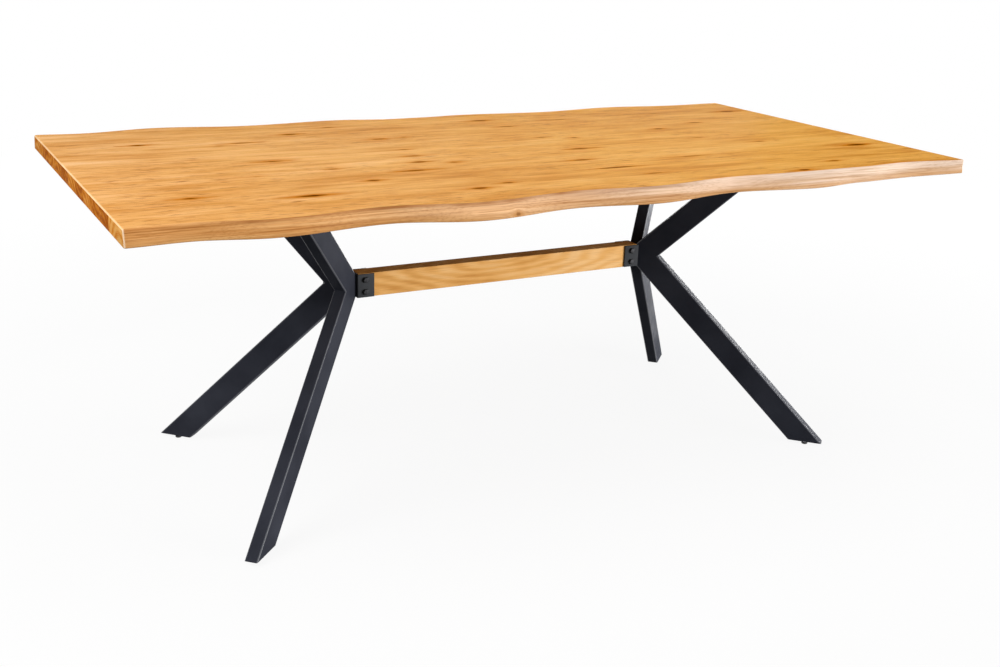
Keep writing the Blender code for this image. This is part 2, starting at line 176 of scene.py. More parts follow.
def joined(bm, near, far):
    """Faces between two closed loops of as many points."""
    for k in range(len(near)):
        bm.faces.new((near[k - 1], near[k], far[k], far[k - 1]))


def sawn(bm, point, away):
    """Saws off what lies on one side of a plane and closes the cut."""
    cut = bmesh.ops.bisect_plane(bm, geom=bm.verts[:] + bm.edges[:] + bm.faces[:], dist=1e-7,
                                 plane_co=point, plane_no=away, clear_outer=True)["geom_cut"]
    edges = [e for e in cut if isinstance(e, bmesh.types.BMEdge)]
    if edges:
        bmesh.ops.contextual_create(bm, geom=edges)


def as_piece(name, bm, *finishes):
    """A piece with its place in its mesh, shaded smooth up to its sharp edges."""
    bmesh.ops.recalc_face_normals(bm, faces=bm.faces)
    mesh = bpy.data.meshes.new(name)
    bm.to_mesh(mesh)
    bm.free()
    for finish in finishes:
        mesh.materials.append(finish)
    return shown(name, mesh)


def shown(name, mesh):
    mesh.shade_smooth()
    mesh.set_sharp_from_angle(angle=math.radians(32))
    piece = bpy.data.objects.new(name, mesh)
    bpy.context.scene.collection.objects.link(piece)
    return piece


def stands_for(piece, body, slot, *nodes):
    """Fixes a piece to its body in place of its solids; the slot is not used."""
    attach(piece, body)
    if nodes:
        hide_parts(*nodes)


def tube_lines(side, end, reach, level, inset=0.0):
    """The way of a tube from the knee to a level, and the points of its outline at the knee."""
    knee = base_point(side, end, knee_reach, knee_height)
    axis = (base_point(side, end, reach, level) - knee).normalized()
    across = way_across(side, end)
    deep = across.cross(axis)
    outline = soft_rectangle(tube_depth - 2 * inset, tube_width - 2 * inset, tube_corner - inset * 0.8)
    return axis, [knee + deep * u + across * v for u, v in outline]


def slid_to(level, axis, points):
    """The points of a tube's outline slid along it to a level."""
    return [p + axis * ((level - p.z) / axis.z) for p in points]


def mitred_tube(name, side, end, reach, level, finish, mouth=0.0):
    """A tube from a level cut to the knee, with an open mouth of a given depth at the level cut."""
    axis, outside = tube_lines(side, end, reach, level)
    bm = bmesh.new()
    rounding = bm.verts.layers.float.new("corner")
    rim = [bm.verts.new(p) for p in slid_to(level, axis, outside)]
    root = [bm.verts.new(p - axis * 3 * tube_depth) for p in outside]
    for k, vert in enumerate(rim + root):
        vert[rounding] = float(k % 8 in (2, 3, 4, 5))  # the inner points of each corner's arc
    joined(bm, rim, root)
    sawn(bm, (0, 0, knee_height), (0, 0, math.copysign(1, knee_height - level)))
    sawn(bm, (0, 0, 0), (0, -end, 0))
    sawn(bm, (side * knee_face, 0, 0), (-side, 0, 0))
    if mouth:
        inside = slid_to(level, *tube_lines(side, end, reach, level, tube_wall))
        lip = [bm.verts.new(p) for p in inside]
        joined(bm, rim, lip)
        floor_loop = [bm.verts.new(p - axis * mouth) for p in inside]
        joined(bm, lip, floor_loop)
        bm.faces.new(floor_loop)
    else:
        bm.faces.new(rim)
    return as_piece(name, bm, finish)


base_coat = powder_coat("satin_black_coat", (0.028, 0.030, 0.040), (0.045, 0.048, 0.062), 0.40)
for quarter, side, end in quarters:
    leg = mitred_tube(f"tube_leg_{quarter}", side, end, foot_reach, leg_clearance, base_coat, leg_mouth)
    stands_for(leg, "root", "powder_coat", f"leg_{quarter}")


# Arms: the upper halves of the base, of the same tube and coat, mitred onto the legs and welded at their
# upper ends to the mounting plates.
arm_reach = 0.286
top_height = 0.762
top_thickness = 0.033
underside = top_height - top_thickness
seat_gap = 0.0003
plate_thickness = 0.005
plate_bottom = underside - seat_gap - plate_thickness
for quarter, side, end in quarters:
    arm = mitred_tube(f"tube_arm_{quarter}", side, end, arm_reach, plate_bottom, base_coat)
    stands_for(arm, "root", "powder_coat", f"arm_{quarter}")


# Mounting plates: laser-cut 5 mm steel with rounded corners, welded to the arms before coating. They are
# screwed up into the boards, so only their edges and undersides show.
plate_coat = powder_coat("plate_black_coat", (0.016, 0.017, 0.021), (0.026, 0.028, 0.034), 0.42)
for quarter, *_ in quarters:
    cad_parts[f"mounting_plate_{quarter}"].data.materials[0] = plate_coat


# Beam brackets: one at each base, folded from 4 mm steel to a U, its web welded to the flat at the knees and
# its cheeks lying along the beam.
bracket_length = 0.042
bracket_height = 0.056
bracket_plate = 0.004
bracket_bend = 0.003
bracket_ease = 0.0005
bracket_back = knee_face - seat_gap
bracket_web = bracket_back - bracket_plate
beam_thickness = 0.043
cheek_inside = beam_thickness / 2 + seat_gap
cheek_outside = cheek_inside + bracket_plate
bracket_coat = powder_coat("bracket_coat", (0.050, 0.052, 0.056), (0.072, 0.075, 0.080), 0.42)


def folded_bracket(name, side):
    """The U in plan, with round outer bends, drawn up to its height and eased along its edges."""
    tip = bracket_back - bracket_length
    steps = 5
    outline = [(tip, -cheek_outside)]
    for corner_end, start in ((-1, -90), (1, 0)):
        for k in range(steps + 1):
            turn = math.radians(start + 90 * k / steps)
            outline.append((bracket_back - bracket_bend + bracket_bend * math.cos(turn),
                            corner_end * (cheek_outside - bracket_bend) + bracket_bend * math.sin(turn)))
    outline += [(tip, cheek_outside), (tip, cheek_inside), (bracket_web, cheek_inside),
                (bracket_web, -cheek_inside), (tip, -cheek_inside)]
    bm = bmesh.new()
    loops = [[bm.verts.new((side * x, y, knee_height + rise)) for x, y in outline]
             for rise in (-bracket_height / 2, bracket_height / 2)]
    joined(bm, *loops)
    for loop in loops:
        bm.faces.new(loop)
    bmesh.ops.recalc_face_normals(bm, faces=bm.faces)
    ridges = [e for e in bm.edges if e.calc_face_angle(0) > math.radians(40)]
    bmesh.ops.bevel(bm, geom=ridges, offset=bracket_ease, segments=2, profile=0.5, affect="EDGES")
    return as_piece(name, bm, bracket_coat)


for side_name, side in (("left", -1), ("right", 1)):
    stands_for(folded_bracket(f"folded_bracket_{side_name}", side), "root", "powder_coat",
               f"beam_bracket_{side_name}")


# Welds: small fillets laid where arm meets leg in the crotch, round each arm under its plate, and down both
# sides of each bracket's web. They are coated with the base, and their ripples show through the coat.
crotch_slope = math.radians(44.4)
web_seam_aside = 0.0172
web_seam_out = 0.001


def sizes_tree(name, sizes):
    """A geometry tree that takes places, named sizes and a finish."""
    tree = bpy.data.node_groups.new(name, "GeometryNodeTree")
    tree.interface.new_socket("Places", in_out="INPUT", socket_type="NodeSocketGeometry")
    for size, value in sizes.items():
        socket = tree.interface.new_socket(size, in_out="INPUT", socket_type="NodeSocketFloat")
        socket.default_value = value
    tree.interface.new_socket("Finish", in_out="INPUT", socket_type="NodeSocketMaterial")
    tree.interface.new_socket("Piece", in_out="OUTPUT", socket_type="NodeSocketGeometry")
    given = put(tree, "NodeGroupInput").socket.node.outputs
    return tree, {socket.name: Amount(socket) for socket in given}


def close_tree(given, geometry):
    """Ends a geometry tree with one plain mesh in the given finish."""
    whole = put(geometry.tree, "GeometryNodeRealizeInstances", {0: geometry})
    coated = put(geometry.tree, "GeometryNodeSetMaterial", {"Geometry": whole, "Material": given["Finish"]})
    feed(geometry.tree.nodes.new("NodeGroupOutput"), {0: coated})


def grown(name, tree, finish, places, edges=()):
    """Runs a geometry tree on a few places and keeps the plain mesh that it makes."""
    seed = bpy.data.meshes.new(f"{name}_places")
    seed.from_pydata([tuple(p) for p in places], list(edges), [])
    holder = bpy.data.objects.new(f"{name}_holder", seed)
    bpy.context.scene.collection.objects.link(holder)
    modifier = holder.modifiers.new(tree.name, "NODES")
    modifier.node_group = tree
    modifier[tree.interface.items_tree["Finish"].identifier] = finish
    graph = bpy.context.evaluated_depsgraph_get()
    mesh = bpy.data.meshes.new_from_object(holder.evaluated_get(graph))
    mesh.name = name
    holder.modifiers.remove(modifier)
    bpy.data.objects.remove(holder, do_unlink=True)
    return shown(name, mesh)


weld_tree, weld = sizes_tree("weld_fillet", {"Radius": 0.0026, "Step": 0.0011, "Ripple": 0.12})
seam = put(weld_tree, "GeometryNodeMeshToCurve", {0: weld["Places"]})
seam = put(weld_tree, "GeometryNodeResampleCurve", {"Curve": seam, "Length": weld["Step"]}, mode="LENGTH")
beat = (put(weld_tree, "GeometryNodeInputIndex") * (math.pi * 0.62)).maths("SINE")
seam = put(weld_tree, "GeometryNodeSetCurveRadius", {"Curve": seam, "Radius": beat * weld["Ripple"] + 1.0})
rod = put(weld_tree, "GeometryNodeCurvePrimitiveCircle", {"Resolution": 10, "Radius": weld["Radius"]})
close_tree(weld, put(weld_tree, "GeometryNodeCurveToMesh",
                     {"Curve": seam, "Profile Curve": rod, "Fill Caps": True}))

seams, seam_edges = [], []


def lay_seam(points, loop=False):
    first = len(seams)
    seams.extend(points)
    seam_edges.extend((first + k, first + k + 1) for k in range(len(points) - 1))
    if loop:
        seam_edges.append((len(seams) - 1, first))


for quarter, side, end in quarters:
    crotch = base_point(side, end, knee_reach + tube_depth / 2 / math.sin(crotch_slope), knee_height)
    lay_seam([crotch + way_across(side, end) * tube_width * share for share in (-0.42, 0, 0.42)])
    ring = slid_to(plate_bottom, *tube_lines(side, end, arm_reach, plate_bottom))
    lay_seam(ring, loop=True)
for side in (-1, 1):
    for end in (-1, 1):
        lay_seam([Vector((side * (knee_face + web_seam_out), end * web_seam_aside,
                          knee_height + rise * bracket_height)) for rise in (-0.44, 0, 0.44)])
fillets = grown("weld_fillets", weld_tree, base_coat, seams, seam_edges)
stands_for(fillets, "root", "powder_coat")


# Stretcher beam: one length of oiled hardwood, planed on four sides with its long edges eased. It stands
# between the cheeks of the brackets, and its wide front face shows arched grain.
beam_half = bracket_web - seat_gap
beam_height = 0.057
beam_edge = 0.0015


def axes(where):
    parts = put(where.tree, "ShaderNodeSeparateXYZ", {0: where}).socket.node.outputs
    return [Amount(part) for part in parts]


def over(below, above, share=1.0, blend="MIX"):
    """One colour laid over another. At least one of the three comes out of a node."""
    tree = next(given.tree for given in (below, above, share) if isinstance(given, Amount))
    return put(tree, "ShaderNodeMix", {0: share, 6: below, 7: above}, out=2, data_type="RGBA",
               blend_type=blend)


def darkened(colour, amount, low, tint, high, share=1.0):
    """A colour darkened by a tint where an amount is low, and left as it is where the amount is high."""
    return over(colour, tints(amount, (low, tint), (high, (1, 1, 1))), share, "MULTIPLY")


def beam_finish():
    """Oiled wood with growth rings drawn round a heart behind the front face, long along the beam."""
    material, shader, where = new_finish("oiled_beam")
    x, y, z = axes(where)
    from_heart = put(where.tree, "ShaderNodeCombineXYZ", {0: (x + 0.01) * 0.24, 1: y + 0.012,
                                                          2: z - (knee_height + 0.040)})
    reach = put(where.tree, "ShaderNodeVectorMath", {0: from_heart}, out="Value", operation="LENGTH")
    rings = reach * 430.0 + grain(where, (5, 26, 26), 3) * 11.0
    arches = rings.maths("SINE") * 0.5 + 0.5
    cloud = grain(where, (7, 18, 18), 2)
    tone = arches * 0.17 + cloud * 0.80 + between(x, -0.3, 0.35, 0.04, -0.08)
    colour = tints(tone, (0.28, (0.93, 0.565, 0.243)), (0.48, (0.84, 0.447, 0.142)),
                   (0.70, (0.66, 0.303, 0.075)))
    fibre = grain(where, (14, 700, 700), 2)
    feed(shader, {"Base Color": darkened(colour, fibre, 0.32, (0.84, 0.80, 0.76), 0.52),
                  "Roughness": between(fibre, 0.3, 0.7, 0.55, 0.43),
                  "Specular IOR Level": 0.0001,
                  "Normal": relief(fibre, 0.00012)})
    return material


bm = bmesh.new()
profile = soft_rectangle(beam_thickness, beam_height, beam_edge, steps=3)
near, far = [[bm.verts.new((x, y, knee_height + z)) for y, z in profile] for x in (-beam_half, beam_half)]
joined(bm, near, far)
bm.faces.new(near)
bm.faces.new(far)
stands_for(as_piece("planed_beam", bm, beam_finish()), "root", "beam_wood", "stretcher_beam")


# Beam bolts and nuts: M8 hexagon bolts through cheeks and beam, two at each bracket, with their heads to the
# front and nuts behind. Black-oxide steel, with chamfered hexagons and rolled threads.
bolt_setback = 0.017
bolt_x = bracket_web - bolt_setback
bolt_rises = (-0.0145, 0.0145)
hex_across = 0.013
head_height = 0.0053
nut_height = 0.0065
bolt_radius = 0.004
bolt_tail = 0.003
bolt_length = 2 * cheek_outside + 2 * seat_gap + nut_height + bolt_tail
bolt_thread = 0.014
thread_pitch = 0.00125


def black_oxide(name):
    material, shader, where = new_finish(name)
    smudge = grain(where, (160, 160, 160), 4)
    feed(shader, {"Base Color": tints(smudge, (0.3, (0.018, 0.018, 0.020)), (0.7, (0.034, 0.034, 0.037))),
                  "Roughness": between(smudge, 0.3, 0.7, 0.42, 0.58),
                  "Metallic": 0.4,
                  "Specular IOR Level": 0.15,
                  "Normal": relief(grain(where, (2200, 2200, 2200), 1), 0.00003)})
    return material


def moved(geometry, shift=(0, 0, 0), turn=(0, 0, 0)):
    return put(geometry.tree, "GeometryNodeTransform",
               {"Geometry": geometry, "Translation": shift, "Rotation": turn})


def lifted(geometry, height):
    return moved(geometry, put(geometry.tree, "ShaderNodeCombineXYZ", {2: height}))


def all_of(*geometries):
    return put(geometries[0].tree, "GeometryNodeJoinGeometry", {0: list(geometries)})


def cylinder(radius, length, sides=24):
    return put(radius.tree, "GeometryNodeMeshCylinder",
               {"Vertices": sides, "Radius": radius, "Depth": length})


def hexagon(across, height):
    """A hexagon bar standing on the origin's plane, its corners turned off by a cone."""
    corner = across * (0.5 / math.cos(math.pi / 6))
    prism = lifted(cylinder(corner, height, sides=6), height * 0.5)
    cone = put(across.tree, "GeometryNodeMeshCone", {"Vertices": 36, "Radius Bottom": corner * 2.66,
                                                     "Radius Top": across * 0.47, "Depth": corner})
    return put(across.tree, "GeometryNodeMeshBoolean", {"Mesh 2": [prism, lifted(cone, height - corner)]},
               operation="INTERSECT", solver="EXACT")


def threaded(radius, length, pitch):
    """A rod standing on the origin's plane with a rolled thread wound round it."""
    core = lifted(cylinder(radius * 0.87, length), length * 0.5)
    helix = put(radius.tree, "GeometryNodeCurveSpiral", {
        "Resolution": 20, "Rotations": length.maths("DIVIDE", pitch), "Start Radius": radius * 0.9,
        "End Radius": radius * 0.9, "Height": length})
    crest = put(radius.tree, "GeometryNodeCurvePrimitiveCircle", {"Resolution": 4, "Radius": radius * 0.09})
    return all_of(core, put(radius.tree, "GeometryNodeCurveToMesh",
                            {"Curve": helix, "Profile Curve": crest, "Fill Caps": True}))


def set_out(given, piece):
    """Ends a geometry tree with a copy of the piece at each place."""
    close_tree(given, put(piece.tree, "GeometryNodeInstanceOnPoints",
                          {"Points": given["Places"], "Instance": piece}))


bolt_tree, bolt = sizes_tree("hexagon_bolt", {
    "Across": hex_across, "Head": head_height, "Radius": bolt_radius, "Length": bolt_length,
    "Thread": bolt_thread, "Pitch": thread_pitch})
head = moved(hexagon(bolt["Across"], bolt["Head"]), turn=(math.pi, 0, 0))
plain = bolt["Length"] - bolt["Thread"]
shank = lifted(cylinder(bolt["Radius"], plain), plain * 0.5)
tail = lifted(threaded(bolt["Radius"], bolt["Thread"], bolt["Pitch"]), plain)
set_out(bolt, moved(all_of(head, shank, tail), turn=(-math.pi / 2, 0, 0)))

nut_tree, nut = sizes_tree("hexagon_nut", {"Across": hex_across, "Height": nut_height,
                                           "Bore": bolt_radius * 1.02})
drilled = put(nut_tree, "GeometryNodeMeshBoolean", {"Mesh 1": hexagon(nut["Across"], nut["Height"]),
                                                    "Mesh 2": cylinder(nut["Bore"], 0.05)},
              operation="DIFFERENCE", solver="EXACT")
set_out(nut, moved(drilled, turn=(-math.pi / 2, 0, 0)))

bolt_names = [f"{side_name}_{level}" for side_name in ("left", "right") for level in ("lower", "upper")]
bolt_seats = [Vector((side * bolt_x, 0, knee_height + rise)) for side in (-1, 1) for rise in bolt_rises]
seat = Vector((0, cheek_outside + seat_gap, 0))
bolts = grown("beam_bolts", bolt_tree, black_oxide("bolt_oxide"), [p - seat for p in bolt_seats])
stands_for(bolts, "root", "black_bolt", *(f"beam_bolt_{name}" for name in bolt_names))
nuts = grown("beam_nuts", nut_tree, black_oxide("nut_oxide"), [p + seat for p in bolt_seats])
stands_for(nuts, "root", "black_bolt", *(f"beam_nut_{name}" for name in bolt_names))


# Levellers: a steel plate closes the mouth of each leg and holds the thread. The zinc-plated stem has a
# hexagon collar for a spanner and turns on its pin in a moulded nylon pad, which stays still on the floor.
foot_plate_thickness = 0.006
leveller_travel = 0.010
stem_spare = 0.004
stem_radius = 0.004
stem_top = leg_clearance + foot_plate_thickness + leveller_travel + stem_spare
stem_root = 0.0015
collar_top = leg_clearance - seat_gap
collar_height = 0.004
collar_across = 0.013
pin_radius = 0.003
pad_radius = 0.008
pad_floor = 0.002
pad_belly = 0.0016
pad_top = collar_top - collar_height - seat_gap
socket_ease = 0.0004

foot_coat = powder_coat("foot_plate_coat", (0.012, 0.012, 0.014), (0.022, 0.022, 0.024), 0.45)
for quarter, *_ in quarters:
    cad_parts[f"foot_plate_{quarter}"].data.materials[0] = foot_coat


def zinc(name):
    """Bright zinc plating with a faint crystal mottle and a slight blue cast."""
    material, shader, where = new_finish(name)
    spangle = put(where.tree, "ShaderNodeTexVoronoi", {"Vector": where, "Scale": 900.0}, out="Color")
    feed(shader, {"Base Color": over((0.50, 0.52, 0.55, 1), spangle, 0.10, "OVERLAY"),
                  "Roughness": between(grain(where, (300, 300, 300), 3), 0.3, 0.7, 0.24, 0.42),
                  "Metallic": 1.0,
                  "Normal": relief(grain(where, (2500, 2500, 2500), 1), 0.00002)})
    return material


stem_tree, stem = sizes_tree("leveller_stem", {
    "Radius": stem_radius, "Length": stem_top - collar_top + stem_root, "Pitch": thread_pitch,
    "Across": collar_across, "Collar": collar_height, "Pin Radius": pin_radius,
    "Pin": collar_top - pad_floor - seat_gap})
rod = lifted(threaded(stem["Radius"], stem["Length"], stem["Pitch"]), -stem_root)
collar = moved(hexagon(stem["Across"], stem["Collar"]), turn=(math.pi, 0, 0))
pin = lifted(cylinder(stem["Pin Radius"], stem["Pin"]), stem["Pin"] * -0.5)
set_out(stem, all_of(rod, collar, pin))
stem_zinc = zinc("stem_zinc")


def moulded_nylon():
    material, shader, where = new_finish("moulded_nylon")
    spark = grain(where, (1500, 1500, 1500), 2)
    feed(shader, {"Base Color": tints(spark, (0.3, (0.010, 0.010, 0.010)), (0.7, (0.020, 0.020, 0.020))),
                  "Roughness": between(spark, 0.3, 0.7, 0.50, 0.62),
                  "Normal": relief(spark, 0.00004)})
    return material


def turned_pad(name, foot, finish):
    """The pad's section, turned about the stem: a flat base, a round belly and the socket for the pin."""
    socket = pin_radius + seat_gap
    shoulder = pad_radius - pad_belly
    section = [(shoulder, 0.0)]
    section += [(shoulder + pad_belly * math.cos(a), pad_top / 2 + pad_top / 2 * math.sin(a))
                for a in (math.radians(d) for d in range(-75, 76, 15))]
    section += [(shoulder, pad_top), (socket + socket_ease, pad_top), (socket, pad_top - socket_ease),
                (socket, pad_floor)]
    bm = bmesh.new()
    turns = [k * math.tau / 40 for k in range(40)]
    rings = [[bm.verts.new((foot.x + r * math.cos(a), foot.y + r * math.sin(a), z)) for a in turns]
             for r, z in section]
    for low, high in zip(rings, rings[1:]):
        joined(bm, low, high)
    bm.faces.new(rings[0])
    bm.faces.new(rings[-1])
    return as_piece(name, bm, finish)


pad_nylon = moulded_nylon()
for quarter, side, end in quarters:
    foot = base_point(side, end, foot_reach, 0)
    screw_up = grown(f"threaded_stem_{quarter}", stem_tree, stem_zinc, [foot + Vector((0, 0, collar_top))])
    stands_for(screw_up, f"leveller_stem_{quarter}", "zinc_steel", f"leveller_stem_{quarter}")
    stands_for(turned_pad(f"nylon_pad_{quarter}", foot, pad_nylon), f"leveller_pad_{quarter}", "nylon",
               f"leveller_pad_{quarter}")


# Inner boards: nine knotty hardwood planks, edge glued so closely that the oiled face reads as one sheet.
# Their glued ends show at the table's ends as a row of darker and lighter blocks under a rounded upper edge.
top_length = 2.000
top_width = 1.000
half_width = top_width / 2
live_board_width = 0.124
board_pitch = (top_width - 2 * live_board_width) / 9
end_round = 0.003
step_along = 0.006
step_across = 0.0025


def from_thousandths(*rows):
    return [tuple(value / 1000 for value in row) for row in rows]


# Place along and across, half length and half width in millimetres, and depth of stain in thousandths.
knots = from_thousandths(
    (-805, 286, 17, 5.5, 850), (-572, 246, 28, 5, 750), (-632, 224, 22, 4, 450), (-430, 328, 18, 7, 700),
    (-302, 398, 25, 5, 800), (-250, 200, 20, 8.5, 600), (-175, 208, 10, 6, 450), (125, 388, 22, 7, 900),
    (148, 278, 24, 5, 600), (350, 342, 34, 3.5, 350), (530, 125, 13, 5.5, 850), (695, 185, 22, 6, 650),
    (920, 335, 21, 7.5, 1000), (238, 72, 10, 5.5, 750), (155, 102, 14, 4, 400), (672, 358, 20, 3.5, 400),
    (-835, -302, 19, 5.5, 850), (-610, -355, 34, 9, 600), (-445, -258, 16, 6.5, 800),
    (-325, -190, 28, 4.5, 900), (-272, -400, 20, 8.5, 700), (-190, -370, 15, 6, 500),
    (95, -198, 21, 5, 850), (125, -302, 40, 4.2, 900), (380, -238, 60, 3.5, 500), (522, -467, 16, 5.5, 950),
    (672, -400, 20, 6, 650), (890, -242, 24, 7.5, 1000), (170, -385, 22, 4.5, 400), (-572, 5, 26, 7.5, 550),
    (-655, -142, 30, 3, 450), (-482, -118, 14, 5.5, 450), (-242, 50, 14, 4.5, 550), (-250, -32, 22, 6, 650),
    (-272, -103, 20, 5, 750), (-198, -130, 14, 7, 600), (170, -70, 22, 5.5, 950), (545, -25, 24, 4, 400),
    (672, -122, 20, 6, 450))


def knot_figure(x, y, marks):
    """How far the grain is bent aside at a point, and how deep the point lies in a knot and in its halo."""
    bend, knot, halo = 0.0, -1.0, -1.0
    for mark_x, mark_y, half_long, half_wide, depth in marks:
        dx, dy = x - mark_x, y - mark_y
        if abs(dx) > 6 * half_long or abs(dy) > 9 * half_wide:
            continue
        aside = math.hypot(dy / half_wide, 0.25) - 0.25
        knot = max(knot, 0.50 + 0.75 * depth - (dx / half_long) ** 2 / 2 - aside)
        halo = max(halo, 0.58 + 0.55 * depth - abs(dx) / (4.2 * half_long) - aside / 2.8)
        push = 2.2 * half_wide ** 2 * math.exp(-(dx / (2.4 * half_long)) ** 2)
        bend += math.copysign(math.sqrt(max(dy * dy - push, 0.0)), dy) - dy
    return bend, knot, halo


def figured(piece, points, heart):
    """Writes the figure of the grain on a board, with the heart that its end rings run round."""
    drawn = piece.data.attributes.new("figure", "FLOAT_VECTOR", "POINT")
    middle = piece.data.attributes.new("heart", "FLOAT_VECTOR", "POINT")
    for vertex in piece.data.vertices:
        drawn.data[vertex.index].vector = points(vertex.co)
        middle.data[vertex.index].vector = heart


def on_face(co):
    return knot_figure(co.x, co.y, knots) if co.z > top_height - end_round / 2 else (0.0, -1.0, -1.0)


def read_attribute(tree, name):
    return axes(put(tree, "ShaderNodeAttribute", out="Vector", attribute_name=name))


def ends_with_painted_highlight(colour, x, tint, share):
    """A colour with a paler tint over it on the rounded edges at both ends: a painted highlight along the
    eased arris, partly the lighter colour of sanded end wood.
    """
    tip = top_length / 2
    # Painted highlight, partly sanded wear: the paler tint laid on the rounded end edges.
    far_out = between(x.maths("ABSOLUTE"), tip - end_round, tip - end_round / 3, 0.0, share)
    return over(colour, tint, far_out)


def plank_finish():
    """Long grain under satin oil: broad bands, streaks, fine fibres and pores that bend round the knots."""
    material, shader, where = new_finish("oiled_plank")
    bend, knot, halo = read_attribute(where.tree, "figure")
    tone = read_attribute(where.tree, "heart")[2]
    x, y = axes(where)[:2]
    aside = put(where.tree, "ShaderNodeCombineXYZ", {1: bend})
    where = put(where.tree, "ShaderNodeVectorMath", {0: where, 1: aside}, operation="ADD")
    band = grain(where, (1.2, 9, 9), 2)
    streak = grain(where, (4.5, 80, 80), 4)
    mottle = grain(where, (5.5, 34, 34), 3)
    fibre = grain(where, (9, 560, 560), 3)
    pores = grain(where, (55, 1500, 1500), 1)
    fleck = grain(where, (24, 270, 270), 2)
    patch = between(grain(where, (1.9, 5, 5), 2), 0.42, 0.58, 0.25, 1.0)
    level = band * 0.35 + streak * 0.27 + mottle * 0.38 + between(tone, 0.0, 1.0, 0.02, -0.02)
    outer = between(y.maths("ABSOLUTE"), 0.12, 0.36, 0.0, 0.05)
    level = level - outer * between(x, -0.95, -0.35, 0.8, 1.0)
    colour = tints(level, (0.36, (0.62, 0.250, 0.036)), (0.45, (0.76, 0.370, 0.080)),
                   (0.53, (0.83, 0.435, 0.115)), (0.64, (0.90, 0.530, 0.185)))
    ripened = tints(between(x, -0.9, 0.9), (0.0, (1, 1.03, 1.40)), (0.40, (1, 1, 1.05)),
                    (0.62, (1, 0.98, 0.80)), (1.0, (1, 0.98, 0.76)))
    colour = over(colour, ripened, blend="MULTIPLY")
    colour = darkened(colour, fibre, 0.30, (0.80, 0.72, 0.62), 0.50)
    colour = darkened(colour, pores, 0.22, (0.62, 0.50, 0.40), 0.36)
    colour = darkened(colour, fleck, 0.30, (0.44, 0.24, 0.08), 0.42, patch)
    amber = between(streak, 0.48, 0.66, 0.0, 0.6) * between(patch, 0.4, 1.0)
    colour = over(colour, (0.60, 0.225, 0.020, 1), amber)
    ragged = fleck * 1.1 + fibre * 0.6
    stain = between(halo - ragged * 0.6, -0.50, 0.25, 0.0, 0.95)
    colour = over(colour, (0.56, 0.165, 0.004, 1), stain)
    core = between(knot - ragged, -0.50, 0.0)
    colour = over(colour, (0.105, 0.026, 0.001, 1), core)
    # The paler tint on the rounded end edges is a painted highlight, partly sanded wear.
    feed(shader, {"Base Color": ends_with_painted_highlight(colour, x, (0.95, 0.70, 0.42, 1), 0.6),
                  "Roughness": between(fibre, 0.3, 0.7, 0.56, 0.44),
                  "Specular IOR Level": between(stain, 0.2, 0.8, 0.003, 0.0),
                  "Normal": relief(fibre + pores * 0.6, 0.00012)})
    return material


def end_grain_finish():
    """Sawn and oiled ends: rings round each board's own heart, rays across them, and a tone of its own."""
    material, shader, where = new_finish("oiled_end_grain")
    heart_y, heart_z, tone = read_attribute(where.tree, "heart")
    y, z = axes(where)[1:]
    dy, dz = y - heart_y, z - heart_z
    reach = (dy * dy + dz * dz).maths("SQRT")
    shake = grain(where, (30, 30, 30), 2)
    rings = (reach * 330.0 + shake * 4.0).maths("SINE")
    fine = (reach * 2100.0 + shake * 20.0).maths("SINE")
    fan = put(where.tree, "ShaderNodeCombineXYZ", {0: dz.maths("ARCTAN2", dy) * 160.0, 1: reach * 40.0})
    rays = grain(fan, (1, 1, 1), 1)
    cloud = grain(where, (20, 26, 40), 3)
    level = rings * 0.12 + cloud * 0.60 + fine * 0.04 + between(tone, 0.0, 1.0, 0.56, -0.10)
    colour = tints(level, (0.20, (0.32, 0.080, 0.005)), (0.52, (0.59, 0.210, 0.021)),
                   (0.90, (0.79, 0.450, 0.135)))
    feed(shader, {"Base Color": darkened(colour, rays, 0.35, (0.76, 0.66, 0.55), 0.55),
                  "Roughness": between(cloud, 0.3, 0.7, 0.70, 0.58),
                  "Specular IOR Level": 0.01,
                  "Normal": relief(grain(where, (900, 900, 900), 2), 0.00015)})
    return material


def even_steps(low, high, pitch):
    count = max(1, round((high - low) / pitch))
    return [low + (high - low) * k / count for k in range(count + 1)]


def end_curve(side):
    """The rounded upper edge at one end, from the end face to the top."""
    turns = [math.radians(90 * k / 4) for k in range(5)]
    return [(side * (top_length / 2 - end_round + end_round * math.cos(a)),
             top_height - end_round + end_round * math.sin(a)) for a in turns]


def over_the_top():
    """The line of the top from one end face to the other, round both upper edges."""
    left, right = end_curve(-1), end_curve(1)
    middle = [(x, top_height) for x in even_steps(left[-1][0], right[-1][0], step_along)[1:-1]]
    return [*left, *middle, *reversed(right)]


def plank(name, y_low, y_high, heart, finishes):
    """A board drawn as a sheet bent over both ends, closed below and at its glued sides."""
    run = [(-top_length / 2, underside), *over_the_top(), (top_length / 2, underside)]
    bm = bmesh.new()
    rows = [[bm.verts.new((x, y, z)) for y in even_steps(y_low, y_high, step_across)] for x, z in run]
    for k, (near, far) in enumerate(zip(rows, rows[1:])):
        for j in range(len(near) - 1):
            face = bm.faces.new((near[j], near[j + 1], far[j + 1], far[j]))
            face.material_index = 1 if k in (0, len(rows) - 2) else 0
    bm.faces.new(rows[0] + rows[-1][::-1])
    bm.faces.new([row[0] for row in rows])
    bm.faces.new([row[-1] for row in rows])
    piece = as_piece(name, bm, *finishes)
    figured(piece, on_face, heart)
    return piece


